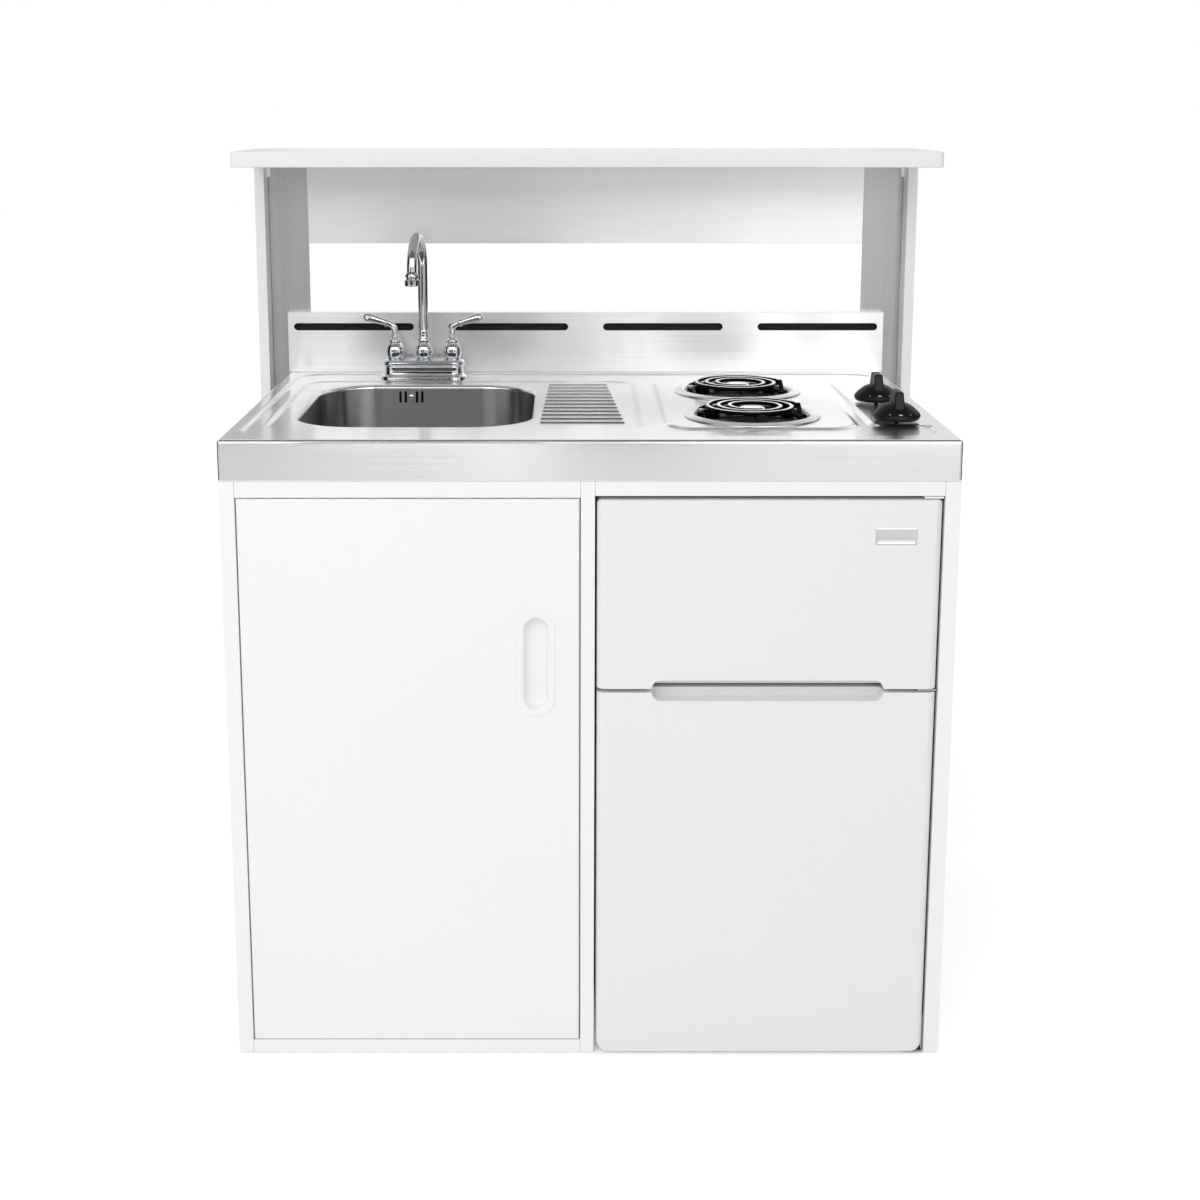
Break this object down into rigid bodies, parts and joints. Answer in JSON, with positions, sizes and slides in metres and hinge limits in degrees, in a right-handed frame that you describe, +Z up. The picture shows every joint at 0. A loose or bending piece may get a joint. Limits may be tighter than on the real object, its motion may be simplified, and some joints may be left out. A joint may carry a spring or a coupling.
{
  "type": "kitchenette unit with sink and hob",
  "caption": "Compact kitchenette: pressed steel top with bowl, drainer and coil burners over a cupboard and a two-door refrigerator, with a tap and a raised shelf behind.",
  "frame": {"origin": "on the floor, in the middle of the width and of the depth", "axes": "+X to the right seen from the front, +Y to the rear, +Z up"},
  "size_m": [1.086, 0.68, 1.252],
  "materials": {
    "stainless": "brushed, fine horizontal grain",
    "chrome": "polished",
    "black_enamel": "gloss enamel",
    "element": "dark heating element with a worn bright top",
    "zinc": "plated, satin",
    "ceramic": "unglazed terminal block",
    "black_plastic": "satin black",
    "compressor_paint": "black paint",
    "white_steel": "white powder coat, satin",
    "fridge_white": "white coat, semi gloss, fine pebble",
    "liner_white": "moulded white",
    "white_plastic": "moulded white",
    "gasket": "soft light grey",
    "glass": "clear toughened",
    "white_board": "white laminate"
  },
  "bodies": {
    "base": {"worktop": "stainless", "sink_bowl": "stainless", "drain_body": "stainless", "waste_trap": "white_plastic", "overflow_pipe": "white_plastic", "backsplash": "stainless", "backsplash_baffle": "black_plastic", "faucet_body": "chrome", "drip_pan_front": "black_enamel", "drip_pan_rear": "black_enamel", "trim_ring_front": "chrome", "trim_ring_rear": "chrome", "receptacle_front": "ceramic", "receptacle_rear": "ceramic", "burner_box": "zinc", "switch_front": "black_plastic", "switch_rear": "black_plastic", "cabinet_left_side": "white_steel", "cabinet_right_side": "white_steel", "cabinet_divider": "white_steel", "cabinet_floor": "white_steel", "cabinet_back": "white_steel", "cupboard_top_rail": "white_steel", "bay_top_rail": "white_steel", "door_pivot_upper": "zinc", "door_pivot_lower": "zinc", "fridge_case": "liner_white", "fridge_shelf_lower": "glass", "fridge_shelf_upper": "glass", "hinge_top": "zinc", "hinge_middle": "zinc", "hinge_bottom": "zinc", "compressor": "compressor_paint", "fridge_foot_left": "black_plastic", "fridge_foot_right": "black_plastic", "riser_side_left": "white_board", "riser_side_right": "white_board", "riser_post_left": "stainless", "riser_post_right": "stainless", "riser_valance": "stainless", "riser_shelf": "white_board"},
    "cupboard_door": {"cabinet_door": "white_steel", "door_pull_cup": "white_plastic"},
    "freezer_door": {"freezer_door": "fridge_white", "freezer_gasket": "gasket"},
    "fridge_door": {"fridge_door": "fridge_white", "fridge_gasket": "gasket", "door_rack": "white_plastic"},
    "spout": {"spout": "chrome", "aerator": "chrome"},
    "lever_hot": {"lever_hot": "chrome"},
    "lever_cold": {"lever_cold": "chrome"},
    "coil_front": {"coil_front": "element", "coil_support_front": "zinc"},
    "coil_rear": {"coil_rear": "element", "coil_support_rear": "zinc"},
    "knob_front": {"knob_front": "black_plastic"},
    "knob_rear": {"knob_rear": "black_plastic"},
    "basket": {"basket_strainer": "stainless"},
    "thermostat_dial": {"thermostat_dial": "white_plastic"}
  },
  "joints": [
    {"name": "cupboard_door_hinge", "type": "hinge", "parent": "base", "child": "cupboard_door", "pos_m": [-0.468, -0.331, 0.4], "axis": [0, 0, -1], "range_deg": [0, 100]},
    {"name": "freezer_door_hinge", "type": "hinge", "parent": "base", "child": "freezer_door", "pos_m": [0.4599, -0.328, 0.67], "axis": [0, 0, 1], "range_deg": [0, 95]},
    {"name": "fridge_door_hinge", "type": "hinge", "parent": "base", "child": "fridge_door", "pos_m": [0.4599, -0.328, 0.27], "axis": [0, 0, 1], "range_deg": [0, 95]},
    {"name": "spout_swivel", "type": "hinge", "parent": "base", "child": "spout", "pos_m": [-0.266, 0.236, 0.95], "axis": [0, 0, 1], "range_deg": [-90, 90]},
    {"name": "hot_lever_turn", "type": "hinge", "parent": "base", "child": "lever_hot", "pos_m": [-0.313, 0.236, 0.95], "axis": [0, 0, 1], "range_deg": [0, 90]},
    {"name": "cold_lever_turn", "type": "hinge", "parent": "base", "child": "lever_cold", "pos_m": [-0.219, 0.236, 0.95], "axis": [0, 0, -1], "range_deg": [0, 90]},
    {"name": "front_coil_tilt", "type": "hinge", "parent": "base", "child": "coil_front", "pos_m": [0.334, -0.148, 0.874], "axis": [0, 1, 0], "range_deg": [0, 8]},
    {"name": "rear_coil_tilt", "type": "hinge", "parent": "base", "child": "coil_rear", "pos_m": [0.334, 0.074, 0.874], "axis": [0, 1, 0], "range_deg": [0, 8]},
    {"name": "front_knob_turn", "type": "hinge", "parent": "base", "child": "knob_front", "pos_m": [0.432, -0.195, 0.9], "axis": [0, 0, 1], "continuous": true},
    {"name": "rear_knob_turn", "type": "hinge", "parent": "base", "child": "knob_rear", "pos_m": [0.432, -0.029, 0.9], "axis": [0, 0, 1], "continuous": true},
    {"name": "basket_lift", "type": "slide", "parent": "base", "child": "basket", "axis": [0, 0, 1], "range_m": [0, 0.12]},
    {"name": "thermostat_turn", "type": "hinge", "parent": "base", "child": "thermostat_dial", "pos_m": [0.43, -0.204, 0.4835], "axis": [-1, 0, 0], "range_deg": [0, 270]}
  ]
}
